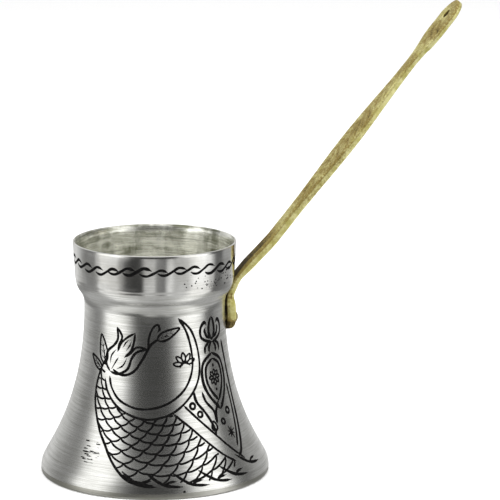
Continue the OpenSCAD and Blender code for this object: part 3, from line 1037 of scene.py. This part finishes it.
def side_point(section, part, k):
    """Where a point of a side is, across and up, and its dirt and painted shade."""
    up = section.top_edge + (section.low_edge - section.top_edge) * (1 - k) / 2
    rough = abs(0.015 * ripple(section.s * 0.8, up * 1.5, 5.0))
    across = section.near - rough if part == "near" else rough - section.far
    # Painted shade on the foot plate's lower end, with a slanting edge.
    tone = 1.15 * (1 - fade(section.s, 3.6 + 0.5 * k, 5.4 + 0.5 * k))
    # Painted shade where the handle bends out under the band's shoulder.
    tone += 0.9 * window(section.s, (10.6, 12), (12.6, 14.4))
    return across, up, tone + 0.3 * section.smoked + 0.4 * fade(section.b, *TIP_DIRT)


def clear_of_body(x, y, z):
    """The point, moved out where it would come closer to the pot than the gap."""
    clear = body_radius(min(max(z, 0.1), BODY_H)) + BODY_GAP
    if z < BODY_H and abs(y) < clear:
        x = max(x, math.sqrt(clear ** 2 - y * y))
    return (x, y, z)


def make_handle():
    """The handle as a skin over its sections, closed at both ends, with the dirt and painted shade kept as an
    attribute.
    """
    stops, loop = handle_stops(), section_loop()
    points, tones = [], []
    for s in stops:
        centre, along = spine(s)
        section = handle_section(s)
        for part, k in loop:
            place = face_point if part in ("top", "low") else side_point
            across, up, tone = place(section, part, k)
            points.append(clear_of_body(centre.x - along.y * up, -across, centre.y + along.x * up))
            tones.append(tone)
    m = len(loop)
    faces = []
    for i in range(len(stops) - 1):
        for k in range(m):
            a, c = i * m + k, i * m + (k + 1) % m
            faces.append((a, c, c + m, a + m))
    faces.append(tuple(range(m))[::-1])
    faces.append(tuple((len(stops) - 1) * m + k for k in range(m)))
    obj = make_mesh("cast_handle", points, faces)
    bm = bmesh.new()
    bm.from_mesh(obj.data)
    bmesh.ops.recalc_face_normals(bm, faces=bm.faces)
    bm.to_mesh(obj.data)
    bm.free()
    # The attribute carries real dirt and painted shade.
    layer = obj.data.attributes.new("dirt_and_shade", "FLOAT", "POINT")
    layer.data.foreach_set("value", tones)
    bore(obj, P_TIP - HANG_INSET * BLADE_DIR)
    obj.data.polygons.foreach_set("use_smooth", [True] * len(obj.data.polygons))
    obj.data.materials.append(METALS["brass"])
    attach(obj, "root")
    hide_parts("handle")


HOLE_EASE = 0.02  # the hole is cut this much wider than in CAD
MOUTH_DEPTH, MOUTH_SLOPE = 0.35, 0.75  # how deep its worn mouths start, and how much they widen
TOOL_REACH = 3  # the cutting tool's half length


def bore(obj, at):
    """Cuts the hanging hole, worn wider at both mouths."""
    t = handle_thickness(HANDLE_L - HANG_INSET)
    r = HANG_R + HOLE_EASE
    mouth_r = r + (TOOL_REACH - t / 2 + MOUTH_DEPTH) * MOUTH_SLOPE
    line = [(0, -TOOL_REACH), (mouth_r, -TOOL_REACH), (r, -t / 2 + MOUTH_DEPTH), (r, t / 2 - MOUTH_DEPTH),
            (mouth_r, TOOL_REACH), (0, TOOL_REACH)]
    tool = lathe("hole_tool", line, SMALL_SEGMENTS)
    tool.matrix_world = (Matrix.Translation(Vector((at.x, 0, at.y)) * MM)
                         @ Matrix.Rotation(math.radians(-BLADE_ANGLE), 4, "Y"))
    cut = obj.modifiers.new("bore", "BOOLEAN")
    cut.operation, cut.solver, cut.object = "DIFFERENCE", "EXACT", tool
    bpy.context.view_layer.update()
    done = bpy.data.meshes.new_from_object(obj.evaluated_get(bpy.context.evaluated_depsgraph_get()))
    obj.modifiers.clear()
    obj.data = done
    bpy.data.objects.remove(tool)


# ================================================================ rivets

SHANK_R, HEAD_R, HEAD_H = 1.2, 2.2, 1.1
RIVET_SPACING = 6.2
RIVET_Z = FOOT_Z + 5.0
INNER_FLAT = math.sqrt((NECK_R - WALL) ** 2 - (RIVET_SPACING / 2 + HEAD_R) ** 2)
DOME_STEPS = 10
HEAD_SINK, SEAT_GAP = 0.02, 0.02  # how far the domes are sunk, and the inner head is off the wall
HEAD_UNDERCUT = 0.06
SHANK_PAST, INNER_SEAT = 0.05, 0.12  # how far inside the neck the shank ends and the inner head starts
HAMMERED_LEAST, HAMMERED_MORE = 0.03, 0.05  # how deep the hammer's marks are


def without_doubles(line):
    return [p for i, p in enumerate(line) if i == 0 or math.dist(p, line[i - 1]) > TINY]


def make_rivet(side, hand):
    """One brass rivet: a hammered dome outside, its shank, and the same hammered dome inside the pot."""
    outer = FOOT_X + FOOT_T
    neck = NECK_R - WALL
    dome_r = (HEAD_R ** 2 + HEAD_H ** 2) / (2 * HEAD_H)
    turns = [math.asin(HEAD_R / dome_r) * k / DOME_STEPS for k in range(DOME_STEPS + 1)]
    dome = [(dome_r * math.sin(t), HEAD_H - dome_r + dome_r * math.cos(t)) for t in turns]
    line = [(r, outer + h - HEAD_SINK) for r, h in dome]
    line += [(HEAD_R - HEAD_UNDERCUT, outer), (SHANK_R, outer), (SHANK_R, neck - SHANK_PAST)]
    line += [(HEAD_R, neck - INNER_SEAT), (HEAD_R, INNER_FLAT)]
    line += [(r, INNER_FLAT - h + HEAD_SINK) for r, h in dome[::-1]]
    obj = lathe("hammered_rivet_" + hand, without_doubles(line), SMALL_SEGMENTS)
    for v in obj.data.vertices:
        p = v.co / MM
        r = math.hypot(p.x, p.y)
        hammered = ripple(p.x * 0.9, p.y * 0.9, side * 3.0 + p.z * 0.2)
        if p.z > outer + 0.1 or p.z < INNER_FLAT - 0.1:
            dent = (HAMMERED_LEAST + HAMMERED_MORE * abs(hammered)) * (1 - fade(r, HEAD_R * 0.8, HEAD_R))
            p.z -= dent if p.z > outer else -dent
        x, y, z = p.z, side * RIVET_SPACING / 2 + p.y, RIVET_Z - p.x
        if INNER_FLAT - 0.01 <= x < neck + 0.3 and r > SHANK_R + 0.2:
            x = min(x, math.sqrt((body_radius(z) - WALL) ** 2 - y * y) - SEAT_GAP)
        v.co = Vector((x, y, z)) * MM
    obj.data.update()
    obj.data.materials.append(METALS["rivet"])
    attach(obj, "root")
    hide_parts("rivet_" + hand)


# ================================================================ build

make_camera()
make_world()
make_floor()
make_area("key_left", (-0.75, -0.35, 0.75), (0, 0, 0.05), (0.5, 0.8), 5.0)
make_area("fill_right", (0.7, -0.5, 0.7), (0, 0, 0.05), (0.5, 0.8), 4.0)
make_area("top", (0.1, 0.2, 1.2), (0.1, 0.2, 0), (1.6, 1.6), 14.0)
bpy.context.scene.view_settings.view_transform = "Standard"

METALS = make_metals()
spun_body = make_body()
dress_body(spun_body, METALS)
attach(spun_body, "root")
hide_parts("pot_body")
engrave_ornament()
engrave_border()
engrave_wear(random.Random(11))
make_handle()
for side, hand in ((1, "left"), (-1, "right")):
    make_rivet(side, hand)
